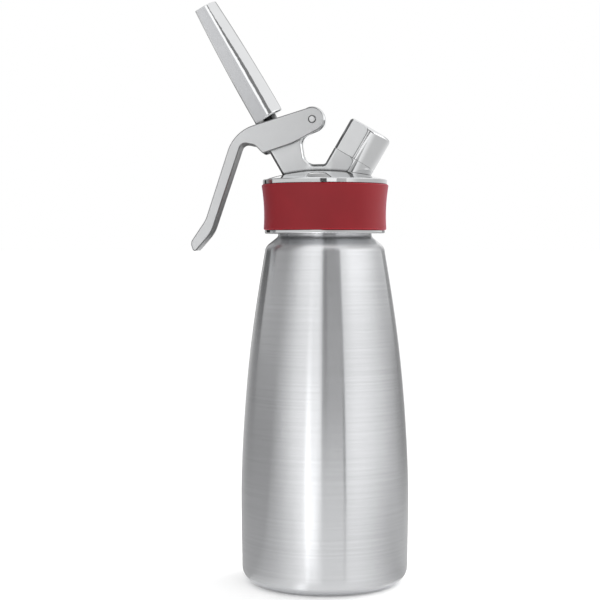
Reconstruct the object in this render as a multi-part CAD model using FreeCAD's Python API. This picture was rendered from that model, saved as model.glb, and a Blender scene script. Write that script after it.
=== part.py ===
import FreeCAD, Part
import math
import os

# Whipped cream dispenser: pressed steel bottle, cast head with a tilted lever valve and a
# tilted charger port. All sizes are in millimetres. The origin is the centre of the bottle's
# foot, +Z is up, the lever hangs on the -X side and the charger port leans to +X.

V = FreeCAD.Vector

# ---------------------------------------------------------------- bottle
bottle_wall = 1.2
foot_recess = 1.5            # height of the pushed-in base panel
foot_recess_radius = 28.0
foot_recess_slope = 2.0
foot_recess_corner = 1.5
foot_radius = 42.5
foot_corner = 8.3
lower_body = (42.6, 8.5)     # radius and height where the base corner ends
belly = (43.05, 43.6)
mid_body = (41.7, 80.6)
upper_body = (38.5, 117.6)
high_body = (34.3, 148.4)
body_top_radius = 31.5
body_top_z = 165.5
shoulder_radius = 30.34
shoulder_rise = 6.8          # from the body's top to the shoulder's corner
shoulder_corner = 6.0
neck_radius = 24.0
neck_foot_rise = 11.9        # from the body's top to the foot of the neck
neck_foot_corner = 2.0
neck_length = 22.6
neck_thread_depth = 0.9      # the neck is drawn at the thread's root, its crests stand this far off

# ---------------------------------------------------------------- head
gasket_thickness = 3.0
gasket_overhang = 1.4        # how far the gasket reaches inside the neck's bore
gasket_play = 0.4
thread_play = 0.3
skirt_depth = 24.1
skirt_wall = 4.2
rim_height = 1.8
rim_lip = 1.4
disc_lift = 0.9              # the disc's underside above the ceiling
disc_height = 2.5
disc_overhang = 2.4
disc_edge = 0.5
dome_rise = 4.9
sleeve_gap = 0.1
sleeve_top_thickness = 3.0
sleeve_waist_thickness = 1.8
sleeve_foot_thickness = 2.0
sleeve_edge = 0.5
tilt = 30.0                  # valve and port both lean this far from upright
axes_drop = 14.0             # the valve's axis meets the bottle's this far below the ceiling
port_axis_drop = 12.4        # and the charger port's axis this far

# ---------------------------------------------------------------- tower, web and lug
tower_left = 8.7             # distance of the tower's left face from the valve's axis
tower_right = 8.0
tower_half = 7.0
tower_top = 44.0             # along the valve's axis
tower_corner = 2.6
tower_edge = 1.9
root_sink = 2.0              # how far the tower and the boss reach into the head's roof
pivot_across = 18.5          # the lever's pivot, right of the valve's axis
pivot_along = 44.4
lug_radius = 6.7
lug_underside_lean = 24.0
window_upper_corner = 4.6
window_lower_corner = 5.6
window_port_corner = 1.5
window_left_across = 7.6     # the window's left wall, right of the valve's axis
window_left_along = 35.0
web_left_x = -9.6
web_height = 2.8             # from the dome's crown to the web's top
flare_left_x = -8.5
flare_right_x = 2.5
flare_corner = 9.0
lug_level = 22.0             # above the ceiling; over this only the tower's own width is left

# ---------------------------------------------------------------- valve
stem_radius = 3.5
stem_bore = 2.2
stem_top_play = 0.2          # from the stem's top to the floor of the nozzle's socket
guide_play = 0.08
guide_wall = 1.1
guide_low = 13.0
guide_high = 25.0
seat_end = 12.0
valve_boss_radius = 8.0
seal_thickness = 1.8
seal_radius = 6.2
poppet_thickness = 2.2
poppet_radius = 6.5
poppet_foot = 1.6
poppet_edge = 0.8
port_hole_radius = 1.4
oring_height = 1.6
oring_edge = 0.5
spring_bore = 5.8
spring_seat = 28.0
washer_thickness = 1.0
spring_wire = 1.0
spring_radius = 4.6
spring_pitch = 3.3
collar_thickness = 2.5
collar_radius = 6.2
seat_gap = 0.3

# ---------------------------------------------------------------- nozzle
nozzle_lift = 0.45           # from the lever's top edge to the nozzle's foot, on the left
nozzle_length = 65.3
nozzle_foot_radius = 7.65
nozzle_top_radius = 5.8
nozzle_foot_edge = 1.1
nozzle_top_edge = 0.4
nozzle_flat_depth = 0.2      # the flats on the nozzle's left half stand back this much
nozzle_side_corner = 1.2
nozzle_socket_play = 0.05
nozzle_socket = 11.5
nozzle_mouth_radius = 4.3
nozzle_groove = 1.1          # from the foot to the seal's groove
nozzle_groove_height = 1.8
nozzle_groove_depth = 1.1

# ---------------------------------------------------------------- lever
lever_half = 9.2
lever_side_play = 0.2
lever_end_radius = 6.1
lever_top_lean = 17.5
lever_knee = (-39.8, -6.0, 20.0)          # x and z from the pivot, and the corner's radius
lever_tail_out = (-54.4, -50.9, 14.0)
lever_heel = (-62.2, -62.5, 3.6)
lever_tip = (-60.3, -67.8, 1.2)
lever_tail_in = (-51.3, -57.3, 18.0)
lever_inner_bend = (-35.9, -11.6, 3.2)
lever_plate_step = (-29.2, -13.0, 4.0)
lever_plate_corner = (-25.1, -17.2, 1.8)
lever_plate_waist = (-9.7, -12.1, 25.0)
lever_underside_lean = 28.0
lever_edge = 0.6
lever_tip_round = 3.0
lever_root_gap = 2.3         # from the tower's left face to the lever's solid root
bridge_thickness = 2.6
bridge_reach = 7.0
bridge_nose = 0.8
fork_play = 0.4
pad_radius = 2.0
pad_drop = 1.65              # how far the pushing pad stands below the bridge
pin_radius = 2.0
pin_play = 0.06
pin_proud = 0.35
pin_edge = 0.7

# ---------------------------------------------------------------- charger port and cap
port_radius = 11.4
seam_along = 29.95
flat_depth = 0.45
flat_right = 0.5             # right edge of the boss's flat, across the port's axis
flat_corner = 2.5
inner_boss_radius = 5.0
inner_boss_end = 11.6
stub_radius = 9.1            # at the root of its thread
stub_thread_depth = 0.4
stub_length = 14.0
charger_bore = 5.3
charger_depth = 8.0
holder_bore = 3.2
holder_depth = 7.0
gas_bore = 1.2
insert_play = 0.05
holder_flange = 2.0
charger_seal_thickness = 1.6
charger_seal_bore = 2.2
needle_radius = 0.9
needle_bore = 0.4
needle_reach = 4.2
needle_point = 2.0
filter_thickness = 1.2
check_bore = 2.6
check_depth = 3.2
check_lip = 1.6
check_slit = 0.45
check_lip_wall = 0.1
retainer_radius = 4.4
retainer_play = 0.3
retainer_thickness = 1.0
cap_seam = 0.2
cap_length = 17.5
cap_roof = 2.0
cap_play = 0.2
cap_edge = 1.9
cap_side_corner = 3.0
cap_flat_right = -0.6
cap_flat_lip = 0.2
cap_flat_corner = 3.0
liner_thickness = 1.5

# ---------------------------------------------------------------- working sizes
over = 1.0                   # a cutting tool runs this far past the face it cuts
block = 120.0                # half size of the blocks that trim a piece

# ---------------------------------------------------------------- worked-out places
neck_foot_z = body_top_z + neck_foot_rise
neck_top_z = neck_foot_z + neck_length
neck_bore = neck_radius - bottle_wall
thread_radius = neck_radius + neck_thread_depth
ceiling_z = neck_top_z + gasket_thickness
skirt_bore = thread_radius + thread_play
skirt_radius = skirt_bore + skirt_wall
rim_z = ceiling_z - skirt_depth
groove_low = rim_z + rim_height
groove_high = ceiling_z + disc_lift
disc_radius = skirt_radius + disc_overhang
disc_top = groove_high + disc_height
dome_top = disc_top + dome_rise
cross_z = ceiling_z - axes_drop
port_cross_z = ceiling_z - port_axis_drop
roof_root_z = ceiling_z + root_sink
web_top_z = dome_top + web_height
guide_radius = stem_radius + guide_play + guide_wall
plate_inner = tower_half + lever_side_play
stub_top = seam_along + stub_length
charger_floor = stub_top - charger_depth
holder_floor = charger_floor - holder_depth
cap_low = seam_along + cap_seam
cap_top = cap_low + cap_length
cap_ceiling = cap_top - cap_roof
stub_thread_radius = stub_radius + stub_thread_depth
flat_half = port_radius - flat_depth


# ---------------------------------------------------------------- helpers
def on_axis(foot_z, lean, across, along):
    """World x and z of a place given across and along a tilted axis."""
    angle = math.radians(lean)
    x = across * math.cos(angle) + along * math.sin(angle)
    z = foot_z - across * math.sin(angle) + along * math.cos(angle)
    return x, z


def on_valve(across, along):
    return on_axis(cross_z, -tilt, across, along)


def on_port(across, along):
    return on_axis(port_cross_z, tilt, across, along)


def to_valve(shape):
    """Move a shape drawn upright on the origin to its place on the valve's axis."""
    placed = shape.copy()
    placed.rotate(V(0, 0, 0), V(0, 1, 0), -tilt)
    placed.translate(V(0, 0, cross_z))
    return placed


def to_port(shape):
    """Move a shape drawn upright on the origin to its place on the charger port's axis."""
    placed = shape.copy()
    placed.rotate(V(0, 0, 0), V(0, 1, 0), tilt)
    placed.translate(V(0, 0, port_cross_z))
    return placed


def path_edges(corners, closed):
    """Edges in the XZ plane through corners (x, z, radius), each one rounded by a tangent arc."""
    count = len(corners)
    starts = []
    ends = []
    arcs = []
    for index, (x, z, radius) in enumerate(corners):
        here = V(x, 0, z)
        at_end = not closed and index in (0, count - 1)
        if at_end or radius <= 0:
            starts.append(here)
            ends.append(here)
            arcs.append(None)
            continue
        before = corners[index - 1]
        after = corners[(index + 1) % count]
        back = (V(before[0], 0, before[1]) - here).normalize()
        on = (V(after[0], 0, after[1]) - here).normalize()
        half = back.getAngle(on) / 2
        reach = radius / math.tan(half)
        start = here + back * reach
        end = here + on * reach
        middle = here + (back + on).normalize() * (radius / math.sin(half) - radius)
        starts.append(start)
        ends.append(end)
        arcs.append(Part.Arc(start, middle, end).toShape())
    edges = []
    for index in range(count):
        if arcs[index]:
            edges.append(arcs[index])
        if index == count - 1 and not closed:
            break
        first = ends[index]
        second = starts[(index + 1) % count]
        if first.distanceToPoint(second) > 1e-6:
            edges.append(Part.LineSegment(first, second).toShape())
    return edges


def outline_face(corners):
    return Part.Face(Part.Wire(Part.__sortEdges__(path_edges(corners, True))))


def turned(corners):
    """A solid of revolution about Z from a closed outline of corners (r, z, radius)."""
    return outline_face(corners).revolve(V(0, 0, 0), V(0, 0, 1), 360)


def slab(corners, half):
    """A plate of the given half thickness about the XZ plane."""
    face = outline_face(corners)
    face.translate(V(0, -half, 0))
    return face.extrude(V(0, 2 * half, 0))


def rod(radius, low, high):
    return Part.makeCylinder(radius, high - low, V(0, 0, low))


def ring(inner, outer, low, high, edge):
    """A turned ring with rounded corners."""
    return turned([(inner, low, edge), (outer, low, edge), (outer, high, edge), (inner, high, edge)])


def cross_rod(x, z, radius, half):
    return Part.makeCylinder(radius, 2 * half, V(x, -half, z), V(0, 1, 0))


def around(centre, radius, first, second):
    """The corner where two tangents of a circle meet, given the tangents' normals in degrees."""
    middle = math.radians((first + second) / 2)
    reach = radius / math.cos(math.radians((first - second) / 2))
    return centre[0] + reach * math.cos(middle), centre[1] + reach * math.sin(middle)


def meet(point, direction, other, other_direction):
    """Where two lines cross, each given by a point and a direction in degrees."""
    ax = math.cos(math.radians(direction))
    az = math.sin(math.radians(direction))
    bx = math.cos(math.radians(other_direction))
    bz = math.sin(math.radians(other_direction))
    step = ((other[0] - point[0]) * bz - (other[1] - point[1]) * bx) / (ax * bz - az * bx)
    return point[0] + ax * step, point[1] + az * step


def inset(corners, wall):
    """The same open path moved to its left by the wall's thickness, with its radii to match."""
    moved = []
    last = len(corners) - 1
    for index, (x, z, radius) in enumerate(corners):
        before = corners[max(index - 1, 0)]
        after = corners[min(index + 1, last)]
        first = V(x - before[0], 0, z - before[1])
        second = V(after[0] - x, 0, after[1] - z)
        if index == 0:
            first = second
        if index == last:
            second = first
        left = V(-first.z, 0, first.x).normalize()
        right = V(-second.z, 0, second.x).normalize()
        shift = (left + right) * (wall / (1 + left.dot(right)))
        turn = first.x * second.z - first.z * second.x
        inner = radius - wall if turn > 0 else radius + wall
        moved.append((x + shift.x, z + shift.z, max(inner, 0.2) if radius > 0 else 0))
    return moved


pivot = on_valve(pivot_across, pivot_along)


def bridge_top(across):
    """Height of the lever's top edge along the valve's axis."""
    slope = math.radians(tilt - lever_top_lean)
    over_pivot = pivot_along + lever_end_radius / math.cos(slope)
    return over_pivot + (pivot_across - across) * math.tan(slope)


collar_high = bridge_top(0) - bridge_thickness - pad_drop - seat_gap
collar_low = collar_high - collar_thickness
nozzle_foot = bridge_top(-nozzle_foot_radius) + nozzle_lift
nozzle_top = nozzle_foot + nozzle_length
stem_top = nozzle_foot + nozzle_socket - stem_top_play


# ---------------------------------------------------------------- bottle
def body_curve(start, end, shift):
    """The belly's long curve, tangent to the base corner and to the shoulder."""
    middle = [belly, mid_body, upper_body, high_body]
    points = [V(start[0], 0, start[1])]
    points += [V(radius - shift, 0, height) for radius, height in middle]
    points.append(V(end[0], 0, end[1]))
    curve = Part.BSplineCurve()
    rise = V(lower_body[0] - foot_radius, 0, lower_body[1])
    lean = V(shoulder_radius - body_top_radius, 0, shoulder_rise)
    curve.interpolate(Points=points, InitialTangent=rise.normalize(), FinalTangent=lean.normalize())
    return curve.toShape()


def bottle_skin(shift):
    """Edges of one face of the bottle's wall, from the axis out and up to the rim."""
    base = [
        (0, foot_recess, 0),
        (foot_recess_radius, foot_recess, foot_recess_corner),
        (foot_recess_radius + foot_recess_slope, 0, foot_recess_corner),
        (foot_radius, 0, foot_corner),
        (lower_body[0], lower_body[1], 0),
    ]
    shoulder = [
        (body_top_radius, body_top_z, 0),
        (shoulder_radius, body_top_z + shoulder_rise, shoulder_corner),
        (neck_radius, neck_foot_z, neck_foot_corner),
        (neck_radius, neck_top_z, 0),
    ]
    if shift:
        base = inset(base, shift)
        shoulder = inset(shoulder, shift)
    edges = path_edges(base, False)
    edges.append(body_curve(base[-1], shoulder[0], shift))
    return edges + path_edges(shoulder, False), base[0], shoulder[-1]


def make_bottle():
    outer, outer_foot, outer_rim = bottle_skin(0)
    inner, inner_foot, inner_rim = bottle_skin(bottle_wall)
    rim = Part.LineSegment(V(outer_rim[0], 0, outer_rim[1]), V(inner_rim[0], 0, inner_rim[1]))
    foot = Part.LineSegment(V(outer_foot[0], 0, outer_foot[1]), V(inner_foot[0], 0, inner_foot[1]))
    edges = outer + inner + [rim.toShape(), foot.toShape()]
    face = Part.Face(Part.Wire(Part.__sortEdges__(edges)))
    return face.revolve(V(0, 0, 0), V(0, 0, 1), 360)


def make_head_gasket():
    return ring(neck_bore - gasket_overhang, skirt_bore - gasket_play, neck_top_z, ceiling_z, 0)


# ---------------------------------------------------------------- head casting
def head_shell():
    """Skirt, rim, disc and dome as one turned form, hollow to take the bottle's neck."""
    rim_radius = skirt_radius + rim_lip
    edges = path_edges([
        (0, ceiling_z, 0),
        (skirt_bore, ceiling_z, 0.4),
        (skirt_bore, rim_z, 0.4),
        (rim_radius, rim_z, 0.5),
        (rim_radius, groove_low, 0.3),
        (skirt_radius, groove_low, 0.2),
        (skirt_radius, groove_high, 0.2),
        (disc_radius, groove_high, 0.3),
        (disc_radius, disc_top, disc_edge),
        (disc_radius - 2 * disc_edge, disc_top, 0),
    ], False)
    reach = disc_radius - 2 * disc_edge
    sphere = (reach ** 2 + dome_rise ** 2) / (2 * dome_rise)
    mid_r = reach / 2
    mid_z = dome_top - sphere + math.sqrt(sphere ** 2 - mid_r ** 2)
    dome = Part.Arc(V(reach, 0, disc_top), V(mid_r, 0, mid_z), V(0, 0, dome_top))
    axis = Part.LineSegment(V(0, 0, dome_top), V(0, 0, ceiling_z))
    edges += [dome.toShape(), axis.toShape()]
    face = Part.Face(Part.Wire(Part.__sortEdges__(edges)))
    return face.revolve(V(0, 0, 0), V(0, 0, 1), 360)


def tower_outline():
    """Side view of tower, pivot lug, window and web, up to the port's seam."""
    slope = math.tan(math.radians(tilt))
    foot_along = (roof_root_z - cross_z) / math.cos(math.radians(tilt)) + tower_left * slope
    left_foot = on_valve(-tower_left, foot_along)
    left_top = on_valve(-tower_left, tower_top)
    saddle = on_valve(tower_right, tower_top)
    away = math.degrees(math.atan2(saddle[1] - pivot[1], saddle[0] - pivot[0])) % 360
    spread = math.degrees(math.acos(lug_radius / math.dist(saddle, pivot)))
    lug_top = away - spread
    lug_under = lug_underside_lean - 90
    under = (
        pivot[0] + lug_radius * math.cos(math.radians(lug_under)),
        pivot[1] + lug_radius * math.sin(math.radians(lug_under)),
    )
    wall = on_valve(window_left_across, window_left_along)
    web_left = (web_left_x, web_top_z)
    wall_direction = math.degrees(math.atan2(wall[1] - web_left[1], wall[0] - web_left[0]))
    window_top = meet(under, lug_underside_lean, web_left, wall_direction)
    port_foot = meet(web_left, 0, on_port(-port_radius, seam_along), 90 - tilt)
    seam_left = on_port(-port_radius, seam_along)
    seam_right = on_port(flat_right, seam_along)
    right_along = (roof_root_z - port_cross_z) / math.cos(math.radians(tilt)) + flat_right * slope
    right_foot = on_port(flat_right, right_along)
    return [
        (*left_foot, 0),
        (*left_top, tower_corner),
        (*saddle, tower_corner),
        (*around(pivot, lug_radius, lug_top, 70), lug_radius),
        (*around(pivot, lug_radius, 70, 0), lug_radius),
        (*around(pivot, lug_radius, 0, lug_under), lug_radius),
        (*window_top, window_upper_corner),
        (*web_left, window_lower_corner),
        (*port_foot, window_port_corner),
        (*seam_left, 0),
        (*seam_right, flat_corner),
        (*right_foot, 0),
    ]


def web_plan():
    """Plan of the web: tower's width on the left, flaring to the port's flats on the right."""
    corners = [
        (-block, -tower_half, 0),
        (flare_left_x, -tower_half, flare_corner),
        (flare_right_x, -flat_half, flare_corner),
        (block, -flat_half, 0),
        (block, flat_half, 0),
        (flare_right_x, flat_half, flare_corner),
        (flare_left_x, tower_half, flare_corner),
        (-block, tower_half, 0),
    ]
    face = outline_face(corners)
    face.rotate(V(0, 0, 0), V(1, 0, 0), -90)
    face.translate(V(0, 0, roof_root_z - over))
    return face.extrude(V(0, 0, ceiling_z + lug_level - roof_root_z + over))


def make_tower():
    wide = slab(tower_outline(), port_radius + over)
    corner = V(-block, -tower_half, ceiling_z + lug_level)
    upper = Part.makeBox(2 * block, 2 * tower_half, block, corner)
    form = wide.common(web_plan().fuse(upper).removeSplitter()).removeSplitter()
    seam_normal = V(math.sin(math.radians(tilt)), 0, math.cos(math.radians(tilt)))
    port_x = on_port(flat_right, seam_along)[0] - flat_corner - tower_half / 2
    chosen = []
    for edge in form.Edges:
        sides = []
        ends = []
        for face in form.ancestorsOfType(edge, Part.Face):
            u0, u1, v0, v1 = face.ParameterRange
            normal = face.normalAt((u0 + u1) / 2, (v0 + v1) / 2)
            if abs(normal.y) > 0.5:
                sides.append(face)
            elif normal.z < -0.99 or normal.dot(seam_normal) > 0.99:
                ends.append(face)
            elif face.CenterOfMass.x > port_x:
                ends.append(face)
        if len(sides) == 1 and not ends:
            chosen.append(edge)
    return form.makeFillet(tower_edge, chosen)


def make_boss():
    """The round root of the charger port, with its flats let in on both sides."""
    boss = to_port(rod(port_radius, 0, seam_along))
    span = 2 * port_radius
    flats = [
        (*on_port(-span, 0), 0),
        (*on_port(-span, seam_along), 0),
        (*on_port(flat_right, seam_along), flat_corner),
        (*on_port(flat_right, 0), 0),
    ]
    outside = slab(flats, port_radius + over).cut(slab(flats, flat_half))
    return boss.cut(outside)


def make_head_casting():
    shell = head_shell()
    corner = V(-block, -block, roof_root_z - 2 * block)
    below = Part.makeBox(2 * block, 2 * block, 2 * block, corner)
    under_roof = Part.makeCylinder(skirt_bore - over, skirt_depth, V(0, 0, roof_root_z - skirt_depth))
    valve_boss = to_valve(rod(valve_boss_radius, seat_end, spring_seat))
    port_boss = to_port(rod(inner_boss_radius, inner_boss_end, seam_along - over))
    bosses = valve_boss.fuse(port_boss).common(under_roof)
    stub = to_port(rod(stub_radius, seam_along - over, stub_top))
    casting = shell.fuse([make_tower(), make_boss().cut(below), bosses, stub]).removeSplitter()
    washer_seat = spring_seat - washer_thickness
    valve_hole = rod(guide_radius, 0, washer_seat)
    valve_hole = valve_hole.fuse(rod(spring_bore, washer_seat, tower_top + over))
    gas_hole = rod(gas_bore, 0, holder_floor + over)
    gas_hole = gas_hole.fuse(rod(check_bore, 0, inner_boss_end + check_depth))
    gas_hole = gas_hole.fuse(rod(holder_bore, holder_floor, charger_floor + over))
    gas_hole = gas_hole.fuse(rod(charger_bore, charger_floor, stub_top + over))
    casting = casting.cut([to_valve(valve_hole), to_port(gas_hole)])
    return casting.cut(cross_rod(*pivot, pin_radius, tower_half + over))


def make_grip_sleeve():
    low = groove_low + sleeve_gap
    high = groove_high - sleeve_gap
    inner = skirt_radius + insert_play
    foot_radius_here = skirt_radius + sleeve_foot_thickness
    top_radius = skirt_radius + sleeve_top_thickness
    waist_z = low + (high - low) / 3
    half = path_edges([
        (top_radius, high - 2 * sleeve_edge, 0),
        (top_radius, high, sleeve_edge),
        (inner, high, 0),
        (inner, low, 0),
        (foot_radius_here, low, sleeve_edge),
        (foot_radius_here, low + 2 * sleeve_edge, 0),
    ], False)
    flare = Part.Arc(
        V(foot_radius_here, 0, low + 2 * sleeve_edge),
        V(skirt_radius + sleeve_waist_thickness, 0, waist_z),
        V(top_radius, 0, high - 2 * sleeve_edge),
    )
    face = Part.Face(Part.Wire(Part.__sortEdges__(half + [flare.toShape()])))
    return face.revolve(V(0, 0, 0), V(0, 0, 1), 360)


# ---------------------------------------------------------------- valve
def make_valve_guide():
    bore = stem_radius + guide_play
    return to_valve(ring(bore, guide_radius, guide_low, guide_high, 0))


def make_stem_oring():
    height = guide_high + insert_play
    bore = stem_radius + guide_play
    return to_valve(ring(bore, guide_radius, height, height + oring_height, oring_edge))


def make_spring_washer():
    bore = stem_radius + 2 * guide_play
    outer = spring_bore - insert_play
    return to_valve(ring(bore, outer, spring_seat - washer_thickness, spring_seat, 0))


def make_valve_spring():
    """A coil of eight-sided wire, which keeps its faces few."""
    rise = collar_low - spring_seat - spring_wire - 2 * insert_play
    helix = Part.makeHelix(spring_pitch, rise, spring_radius)
    corners = []
    for turn in range(9):
        angle = math.radians(45 * turn + 22.5)
        across = spring_radius + spring_wire / 2 * math.cos(angle)
        corners.append(V(across, 0, spring_wire / 2 * math.sin(angle)))
    coil = Part.Wire(helix).makePipeShell([Part.makePolygon(corners)], True, True)
    coil.translate(V(0, 0, spring_seat + insert_play + spring_wire / 2))
    return to_valve(coil)


def make_valve_stem():
    low = seat_end - seal_thickness - poppet_thickness
    stem = rod(stem_radius, low, stem_top)
    stem = stem.cut(rod(stem_bore, low + poppet_thickness, stem_top + over))
    height = seat_end + port_hole_radius + insert_play
    for turn in range(4):
        hole = Part.makeCylinder(port_hole_radius, stem_radius + over, V(0, 0, height), V(1, 0, 0))
        hole.rotate(V(0, 0, height), V(0, 0, 1), 90 * turn + 45)
        stem = stem.cut(hole)
    return to_valve(stem)


def make_valve_poppet():
    high = seat_end - seal_thickness
    low = high - poppet_thickness
    cup = turned([
        (stem_radius + insert_play, high, 0),
        (poppet_radius, high, 0),
        (poppet_radius, low, poppet_edge),
        (0, low - poppet_foot, 0),
        (0, low - insert_play, 0),
        (stem_radius + insert_play, low - insert_play, 0),
    ])
    return to_valve(cup)


def make_valve_seal():
    low = seat_end - seal_thickness
    return to_valve(ring(stem_radius + insert_play, seal_radius, low, seat_end, 0))


def make_stem_collar():
    return to_valve(ring(stem_radius, collar_radius, collar_low, collar_high, 0))


def nozzle_side(margin):
    """Corners and bowed edge of the nozzle's side view, moved in by the margin."""
    foot = V(nozzle_foot_radius - margin, 0, nozzle_foot)
    top = V(nozzle_top_radius - margin, 0, nozzle_top)
    bow = nozzle_foot_radius - (nozzle_foot_radius - nozzle_top_radius) / 4 - margin
    side = Part.Arc(foot, V(bow, 0, (nozzle_foot + nozzle_top) / 2), top)
    return foot, top, side.toShape()


def nozzle_round():
    """The nozzle's right part, round about the axis and a little past the edge of the flats."""
    foot, top, side = nozzle_side(0)
    low = V(0, 0, nozzle_foot)
    high = V(0, 0, nozzle_top)
    edges = [side, Part.makeLine(top, high), Part.makeLine(high, low), Part.makeLine(low, foot)]
    body = Part.Face(Part.Wire(edges)).revolve(V(0, 0, 0), V(0, 0, 1), 360)
    curved = [edge for edge in body.Edges if edge.BoundBox.YLength > 2 * nozzle_top_radius - over]
    foot_edge = [edge for edge in curved if edge.BoundBox.ZMax < nozzle_foot + over]
    top_edge = [edge for edge in curved if edge.BoundBox.ZMin > nozzle_top - over]
    body = body.makeFillet(nozzle_foot_edge, foot_edge).makeFillet(nozzle_top_edge, top_edge)
    corner = V(-nozzle_foot_radius / 2, -block, nozzle_foot - over)
    return body.common(Part.makeBox(block, 2 * block, 2 * block, corner))


def nozzle_flat_side():
    """The block round the nozzle's left half: bowed flats on both sides and a bowed back."""
    foot, top, back = nozzle_side(0)
    low = V(0, 0, nozzle_foot)
    high = V(0, 0, nozzle_top)
    edges = [back, Part.makeLine(top, high), Part.makeLine(high, low), Part.makeLine(low, foot)]
    wide = Part.Face(Part.Wire(edges))
    wide.rotate(V(0, 0, 0), V(0, 0, 1), 180)
    wide.translate(V(0, -nozzle_foot_radius, 0))
    foot, top, right = nozzle_side(nozzle_flat_depth)
    left = right.mirror(V(0, 0, 0), V(1, 0, 0))
    left_foot = V(-foot.x, 0, foot.z)
    left_top = V(-top.x, 0, top.z)
    edges = [right, Part.makeLine(top, left_top), left, Part.makeLine(left_foot, foot)]
    front = Part.Face(Part.Wire(Part.__sortEdges__(edges)))
    front.rotate(V(0, 0, 0), V(0, 0, 1), 90)
    front.translate(V(-nozzle_foot_radius - over, 0, 0))
    thick = wide.extrude(V(0, 2 * nozzle_foot_radius, 0))
    form = thick.common(front.extrude(V(nozzle_foot_radius + over, 0, 0)))
    corners = [
        edge for edge in form.Edges
        if edge.BoundBox.ZLength > nozzle_length - over and edge.CenterOfMass.x < -nozzle_top_radius / 2
    ]
    return form.makeFillet(nozzle_side_corner, corners)


def make_nozzle():
    socket = stem_radius + nozzle_socket_play
    socket_top = nozzle_foot + nozzle_socket
    groove = nozzle_foot + nozzle_groove
    body = nozzle_round().fuse(nozzle_flat_side()).removeSplitter()
    hole = rod(socket, nozzle_foot - over, socket_top + over)
    hole = hole.fuse(rod(nozzle_mouth_radius, socket_top, nozzle_top + over))
    hole = hole.fuse(rod(socket + nozzle_groove_depth, groove, groove + nozzle_groove_height))
    return to_valve(body.cut(hole))


def make_nozzle_oring():
    socket = stem_radius + nozzle_socket_play
    low = nozzle_foot + nozzle_groove + insert_play
    high = low + nozzle_groove_height - 2 * insert_play
    outer = socket + nozzle_groove_depth - insert_play
    return to_valve(ring(stem_radius + insert_play, outer, low, high, oring_edge))


# ---------------------------------------------------------------- lever
def lever_corner(place):
    return pivot[0] + place[0], pivot[1] + place[1], place[2]


def lever_outline():
    top = lever_top_lean + 90
    under = lever_underside_lean - 90
    return [
        (*around(pivot, lever_end_radius, top, 20), lever_end_radius),
        (*around(pivot, lever_end_radius, 20, under), lever_end_radius),
        lever_corner(lever_plate_waist),
        lever_corner(lever_plate_corner),
        lever_corner(lever_plate_step),
        lever_corner(lever_inner_bend),
        lever_corner(lever_tail_in),
        lever_corner(lever_tip),
        lever_corner(lever_heel),
        lever_corner(lever_tail_out),
        lever_corner(lever_knee),
    ]


def lever_channel():
    """The space between the lever's plates, with the forked bridge left standing in it."""
    root = -tower_left - lever_root_gap
    slot = slab([
        (root, 0, 0),
        (root, nozzle_top, 0),
        (block, nozzle_top, 0),
        (block, 0, 0),
    ], plate_inner)
    return to_valve(slot)


def make_bridge():
    root = -tower_left - lever_root_gap - over
    right = bridge_reach
    plate = slab([
        (root, bridge_top(root), 0),
        (right, bridge_top(right), 0),
        (right, bridge_top(right) - bridge_thickness, bridge_nose),
        (root, bridge_top(root) - bridge_thickness, 0),
    ], plate_inner)
    pad = cross_rod(0, collar_high + seat_gap + pad_radius, pad_radius, plate_inner)
    fork = stem_radius + fork_play
    notch = rod(fork, collar_high, nozzle_top)
    way = Part.makeBox(block, 2 * fork, nozzle_top - collar_high, V(0, -fork, collar_high))
    return to_valve(plate.fuse(pad).cut(notch.fuse(way)))


def make_lever():
    bar = slab(lever_outline(), lever_half)
    tip_z = pivot[1] + lever_tip[1] - over
    front = outline_face([
        (-lever_half, tip_z, lever_tip_round),
        (lever_half, tip_z, lever_tip_round),
        (lever_half, tip_z + block, 0),
        (-lever_half, tip_z + block, 0),
    ])
    front.rotate(V(0, 0, 0), V(0, 0, 1), 90)
    front.translate(V(-block, 0, 0))
    bar = bar.common(front.extrude(V(2 * block, 0, 0)))
    rim = []
    for edge in bar.Edges:
        faces = bar.ancestorsOfType(edge, Part.Face)
        if sum(1 for face in faces if abs(face.CenterOfMass.y) > lever_half - 0.01) == 1:
            rim.append(edge)
    bar = bar.makeFillet(lever_edge, rim)
    lever = bar.cut(lever_channel()).fuse(make_bridge()).removeSplitter()
    return lever.cut(cross_rod(*pivot, pin_radius + pin_play, lever_half + over))


def make_lever_pin():
    half = lever_half + pin_proud
    pin = turned([
        (0, -half, 0),
        (pin_radius, -half, pin_edge),
        (pin_radius, half, pin_edge),
        (0, half, 0),
    ])
    pin.rotate(V(0, 0, 0), V(1, 0, 0), 90)
    pin.translate(V(pivot[0], 0, pivot[1]))
    return pin


# ---------------------------------------------------------------- charger port
def make_pierce_holder():
    low = holder_floor + filter_thickness + insert_play
    high = charger_floor + holder_flange
    body = rod(holder_bore - insert_play, low, high)
    body = body.fuse(rod(charger_bore - insert_play, charger_floor, high))
    return to_port(body.cut(rod(needle_radius, low - over, high + over)))


def make_piercing_pin():
    low = holder_floor + filter_thickness + insert_play
    shoulder = charger_floor + holder_flange
    needle = turned([
        (needle_bore, low, 0),
        (needle_radius, low, 0),
        (needle_radius, shoulder + needle_reach - needle_point, 0),
        (needle_bore + insert_play, shoulder + needle_reach, 0),
        (needle_bore, shoulder + needle_reach, 0),
    ])
    return to_port(needle)


def make_micro_filter():
    return to_port(rod(holder_bore - insert_play, holder_floor, holder_floor + filter_thickness))


def make_charger_seal():
    low = charger_floor + holder_flange
    outer = charger_bore - insert_play
    return to_port(ring(charger_seal_bore, outer, low, low + charger_seal_thickness, 0))


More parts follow.
